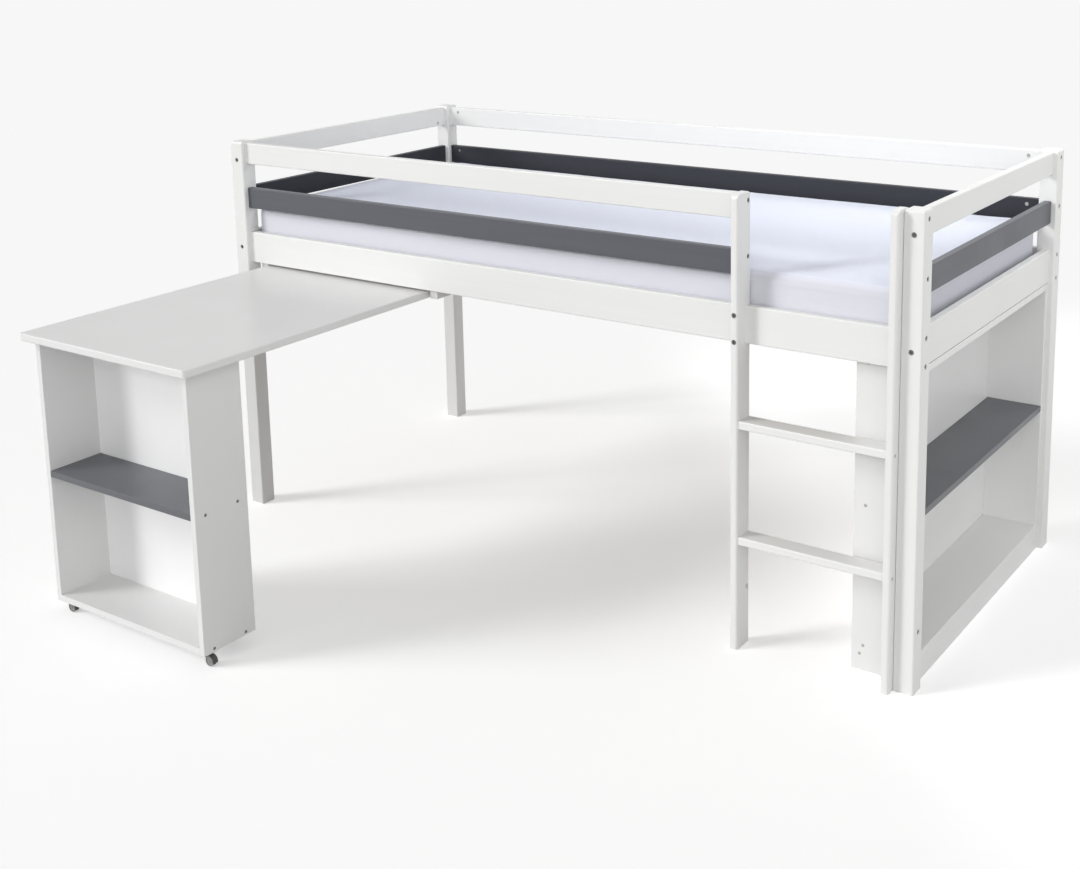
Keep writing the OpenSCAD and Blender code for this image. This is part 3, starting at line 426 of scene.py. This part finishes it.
# Nodes with a look of their own within their slot: fasteners in a darker steel whose heads
# show as dark spots, painted shade of their recesses; the thin back panel in a whiter paint,
# painted light inside the desk unit; the back and left rails in a darker grey, painted
# shade; and the grey boards
OWN_LOOK = {
    "frame_bolts": "recess_shaded_steel",
    "desk_screws": "recess_shaded_steel",
    "desk_back_panel": "lit_thin_board",
    "grey_rail_back": "shaded_grey_lacquer",
    "grey_rail_left": "shaded_grey_lacquer",
    "desk_shelf": "grey_board",
    "bookcase_shelf": "grey_board",
}


def dress_nodes():
    for part in frame["record"]["subparts"]:
        node = part["node"]
        look = OWN_LOOK.get(node, part["material_slot"])
        material = MATERIALS.get(look) or MATERIALS[look, grain_axis(node)]
        for entry in NODES[node].material_slots:
            entry.material = material


dress_nodes()


# ---------------------------------------------------------------- mattress

# Width of the cover's squares, and the radii of its upright corners and its long edges
SHEET_STEP = 0.014
CORNER_R, EDGE_R = 0.022, 0.018
# How far the cover starts inside the mattress's sides and below its top, and how far the
# padding may push a point of it out
SIDE_ROOM, TOP_ROOM = 0.004, 0.008
SWELL = 0.005
# Cloth settings: a light, fairly stiff cover under the padding's pressure
CLOTH = {
    "quality": 5,
    "mass": 0.3,
    "tension_stiffness": 25,
    "compression_stiffness": 25,
    "bending_stiffness": 6,
    "use_pressure": True,
    "uniform_pressure_force": 4,
}
CLOTH_FRAMES = 20
# Height of the top's crown, the share of the height above which a point is on the top, and
# the powers by which the crown falls off along the bed and across it
CROWN = 0.005
TOP_FROM = 0.9
CROWN_ALONG, CROWN_ACROSS = 6, 2
# The sheet's folds, long ones and short ones: waves to a metre along X and along Y, their
# height, and the layer of the noise that they are taken from
FOLDS = ((2.3, 4.1, 0.0016, 3.0), (7.0, 12.0, 0.0006, 9.0))
# Its puckers at each corner: their height, how fast they follow each other round it, and
# the distance over which they fade
PUCKER, PUCKER_RATE, PUCKER_FADE = 0.0022, 15, 0.13
# Length that counts as none
TINY = 1e-9


def rounded_block(lo, hi, step):
    """Closed grid over a block, its points pulled in to round corners and edges."""
    size = hi - lo
    count = [max(2, round(size[a] / step)) for a in range(3)]
    points, faces = {}, []
    for a in range(3):
        b, c = (a + 1) % 3, (a + 2) % 3
        for end, i, j in itertools.product((0, count[a]), range(count[b]), range(count[c])):
            quad = []
            for di, dj in ((0, 0), (1, 0), (1, 1), (0, 1)):
                at = [0, 0, 0]
                at[a], at[b], at[c] = end, i + di, j + dj
                quad.append(points.setdefault(tuple(at), len(points)))
            faces.append(quad if end else quad[::-1])
    spots = [
        pull_in(Vector(lo[a] + size[a] * at[a] / count[a] for a in range(3)), lo, hi)
        for at in points
    ]
    return spots, faces


def pull_in(p, lo, hi):
    """Moves a point of a block's face onto the block with round corners and edges. The
    square round a corner's centre becomes a disc, which draws in at the top and bottom."""
    inner = Vector((
        min(max(p.x, lo.x + CORNER_R), hi.x - CORNER_R),
        min(max(p.y, lo.y + CORNER_R), hi.y - CORNER_R),
        p.z,
    ))
    out = p - inner
    if out.length < TINY:
        return p
    reach = max(abs(out.x), abs(out.y))
    depth = min(hi.z - p.z, p.z - lo.z)
    if depth < EDGE_R:
        rim = min(EDGE_R - depth, EDGE_R)
        reach = min(reach, CORNER_R - EDGE_R + math.sqrt(EDGE_R ** 2 - rim ** 2))
    return inner + out.normalized() * reach


def new_object(name, spots, faces):
    mesh = bpy.data.meshes.new(name)
    mesh.from_pydata(spots, [], faces)
    mesh.update()
    obj = bpy.data.objects.new(name, mesh)
    bpy.context.scene.collection.objects.link(obj)
    return obj


def apply_modifiers(obj):
    shown = obj.evaluated_get(bpy.context.evaluated_depsgraph_get())
    mesh = bpy.data.meshes.new_from_object(shown)
    obj.modifiers.clear()
    obj.data = mesh


def inflate(obj):
    """Cloth simulation: the cover swells under pressure, each point by SWELL at most."""
    start = [v.co.copy() for v in obj.data.vertices]
    cloth = obj.modifiers.new("cloth", "CLOTH")
    for key, value in CLOTH.items():
        setattr(cloth.settings, key, value)
    cloth.settings.effector_weights.gravity = 0
    cloth.point_cache.frame_start = 1
    cloth.point_cache.frame_end = CLOTH_FRAMES
    for step in range(1, CLOTH_FRAMES + 1):
        bpy.context.scene.frame_set(step)
    apply_modifiers(obj)
    bpy.context.scene.frame_set(1)
    for v, was in zip(obj.data.vertices, start):
        moved = v.co - was
        if moved.length > SWELL:
            v.co = was + moved.normalized() * SWELL


def subdivide(obj):
    made = obj.modifiers.new("subdivision", "SUBSURF")
    made.levels = made.render_levels = 1
    apply_modifiers(obj)


def smooth_shade(obj):
    obj.data.polygons.foreach_set("use_smooth", [True] * len(obj.data.polygons))


def flatten_below(obj, z):
    for v in obj.data.vertices:
        v.co.z = max(v.co.z, z)


def sheet_relief(p, lo, hi):
    """Height of the sheet's folds over the padding: shallow waves, and puckers that run in
    from the four corners."""
    waves = sum(
        noise.noise(Vector((p.x * along, p.y * across, layer))) * height
        for along, across, height, layer in FOLDS
    )
    corner = Vector((
        hi.x if p.x > (lo.x + hi.x) / 2 else lo.x,
        hi.y if p.y > (lo.y + hi.y) / 2 else lo.y,
    ))
    gap = Vector((p.x, p.y)) - corner
    angle = math.atan2(gap.y, gap.x)
    near = math.exp(-gap.length / PUCKER_FADE)
    return waves + near * PUCKER * math.sin(angle * PUCKER_RATE)


def crown_top(obj, lo, hi, top_from):
    """Raises the points above that height to the top's crown, with the sheet's folds."""
    mid = (lo + hi) / 2
    half = (hi - lo) / 2
    for v in obj.data.vertices:
        if v.co.z > top_from:
            along = (v.co.x - mid.x) / half.x
            across = (v.co.y - mid.y) / half.y
            v.co.z += CROWN * (1 - along ** CROWN_ALONG) * (1 - across ** CROWN_ACROSS)
            v.co.z += sheet_relief(v.co, lo, hi)


def make_mattress():
    lo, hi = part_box("mattress")
    start_lo = lo + Vector((SIDE_ROOM, SIDE_ROOM, 0))
    start_hi = hi - Vector((SIDE_ROOM, SIDE_ROOM, TOP_ROOM))
    obj = new_object("mattress_in_sheet", *rounded_block(start_lo, start_hi, SHEET_STEP))
    inflate(obj)
    crown_top(obj, lo, hi, start_lo.z + TOP_FROM * (start_hi.z - start_lo.z))
    flatten_below(obj, lo.z)
    subdivide(obj)
    flatten_below(obj, lo.z)
    smooth_shade(obj)
    obj.data.materials.append(MATERIALS["mattress_cover"])
    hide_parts("mattress")
    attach(obj, "bed")


make_mattress()


# ---------------------------------------------------------------- studio

# Value at which the backdrop shows near-white, and the grey of the light from all round
BACKDROP = 0.94
AMBIENT = 0.275

# Soft suns: the bearing that the light comes from, its height above the horizon, the angle
# of its disc, its strength, and whether it lights the floor too
SUNS = {
    "key_high": (-140, 35, 16, 0.83, True),
    "key_low": (-130, 19, 14, 1.17, True),
    "front": (-65, 12, 50, 0.83, False),
    "right_front": (-40, 35, 50, 0.37, False),
}
SUN_DISTANCE = 6
# Softboxes, which leave the floor alone: one beyond the bookcase end, and one above the
# back of the bed. Each has its place, the point that it faces, its size and its watts.
SOFTBOXES = {
    "side": ((3.3, 0.4, 1.35), (0.3, 0.3, 0.7), (4.6, 2.0), 25),
    "over": ((0.95, 1.25, 2.3), (0.9, 0.4, 0.9), (1.6, 1.0), 16),
}

# Half the floor's width
FLOOR_HALF = 60.0
# The floor's paint, its paint where it is seen directly, and the light of its own there,
# which brings it up to the backdrop where nothing shades it
FLOOR_PAINT, FLOOR_SEEN, FLOOR_OWN = 0.80, 0.97, 0.40
# Painted light on the floor beyond the object, which lifts its shadow there: this much, on
# this bearing. The glow rises from the first distance to the second and ends from the third
# to the fourth.
PAINTED_FLOOR_LIGHT = 0.21
GLOW_BEARING = 42
GLOW_FROM, GLOW_FULL, GLOW_FADES, GLOW_ENDS = 0.5, 1.0, 3.0, 7.0
# Middle of that strip of floor, half its width, and where it has faded out sideways
GLOW_MIDDLE, GLOW_HALF, GLOW_OUT = 0.2, 0.9, 2.4
ALL_BUT_FLOOR = "all_but_floor"


def place_lamp(data, at, toward, lights_floor):
    lamp = bpy.data.objects.new(data.name, data)
    lamp.rotation_mode = "QUATERNION"
    lamp.rotation_quaternion = (at - toward).to_track_quat("Z", "Y")
    lamp.location = at
    lamp.visible_camera = False
    bpy.context.scene.collection.objects.link(lamp)
    if not lights_floor:
        lamp.light_linking.receiver_collection = bpy.data.collections[ALL_BUT_FLOOR]


def make_sun(name, bearing, height, disc, strength, lights_floor):
    data = bpy.data.lights.new(name, "SUN")
    data.energy = strength
    data.angle = math.radians(disc)
    place_lamp(data, direction(bearing, height) * SUN_DISTANCE, Vector(), lights_floor)


def make_softbox(name, at, toward, size, watts):
    data = bpy.data.lights.new(name, "AREA")
    data.shape = "RECTANGLE"
    data.size, data.size_y = size
    data.energy = watts
    place_lamp(data, Vector(at), Vector(toward), False)


def seen_directly(tree):
    """1 where a camera, mirror or glass ray arrives, and 0 for scattered light."""
    path = tree.nodes.new("ShaderNodeLightPath")
    total = path.outputs["Is Camera Ray"]
    for kind in ("Is Glossy Ray", "Is Transmission Ray"):
        either = tree.nodes.new("ShaderNodeMath")
        either.operation = "MAXIMUM"
        tree.links.new(total, either.inputs[0])
        tree.links.new(path.outputs[kind], either.inputs[1])
        total = either.outputs[0]
    return total


def make_world():
    """Grey light from all round, behind a backdrop that is seen as near-white."""
    world = bpy.data.worlds.new("studio")
    bpy.context.scene.world = world
    world.use_nodes = True
    tree = world.node_tree
    ambient = tree.nodes["Background"]
    ambient.inputs["Color"].default_value = colour((AMBIENT,) * 3)
    ambient.inputs["Strength"].default_value = 1.0
    white = tree.nodes.new("ShaderNodeBackground")
    white.inputs["Color"].default_value = colour((BACKDROP,) * 3)
    mix = tree.nodes.new("ShaderNodeMixShader")
    tree.links.new(seen_directly(tree), mix.inputs["Fac"])
    tree.links.new(ambient.outputs[0], mix.inputs[1])
    tree.links.new(white.outputs[0], mix.inputs[2])
    tree.links.new(mix.outputs[0], tree.nodes["World Output"].inputs["Surface"])


def floor_glow(s):
    """The floor's own light, from its place: an even glow, and painted light where the object's
    shadow falls beyond it.
    """
    beyond = s.distance_along(direction(GLOW_BEARING, 0))
    aside = s.distance_along(direction(GLOW_BEARING + 90, 0))
    aside = s.math("ABSOLUTE", s.math("SUBTRACT", aside, GLOW_MIDDLE))
    # Painted light that lifts the object's shadow on the floor beyond it
    rise = s.fitted(beyond, 0, PAINTED_FLOOR_LIGHT, (GLOW_FROM, GLOW_FULL), "SMOOTHSTEP")
    fall = s.fitted(beyond, 1, 0, (GLOW_FADES, GLOW_ENDS), "SMOOTHSTEP")
    strip = s.fitted(aside, 1, 0, (GLOW_HALF, GLOW_OUT), "SMOOTHSTEP")
    return s.math("ADD", FLOOR_OWN, s.math("MULTIPLY", rise, s.math("MULTIPLY", fall, strip)))


def floor_material():
    s = Shader("floor")
    s.tree.nodes.remove(s.bsdf)
    seen = seen_directly(s.tree)
    lit = s.add("ShaderNodeBsdfDiffuse")
    s.link(s.fitted(seen, FLOOR_PAINT, FLOOR_SEEN), lit.inputs["Color"])
    glow = s.add("ShaderNodeEmission")
    s.link(s.math("MULTIPLY", seen, floor_glow(s)), glow.inputs["Strength"])
    both = s.add("ShaderNodeAddShader")
    s.link(lit.outputs[0], both.inputs[0])
    s.link(glow.outputs[0], both.inputs[1])
    s.link(both.outputs[0], s.tree.nodes["Material Output"].inputs["Surface"])
    return s.finish()


def make_floor():
    """Pale floor, which meets the backdrop without a line and keeps the shadows, save beyond
    the object, where painted light lifts them.
    """
    corners = ((-1, -1), (1, -1), (1, 1), (-1, 1))
    spots = [Vector((x, y, 0)) * FLOOR_HALF for x, y in corners]
    floor = new_object("floor", spots, [(0, 1, 2, 3)])
    floor.data.materials.append(floor_material())
    spared = bpy.data.collections.new(ALL_BUT_FLOOR)
    spared.objects.link(floor)
    spared.collection_objects[0].light_linking.link_state = "EXCLUDE"


def make_studio():
    make_floor()
    make_world()
    for name, facts in SUNS.items():
        make_sun(name, *facts)
    for name, facts in SOFTBOXES.items():
        make_softbox(name, *facts)
    bpy.context.scene.view_settings.view_transform = "Standard"


make_studio()
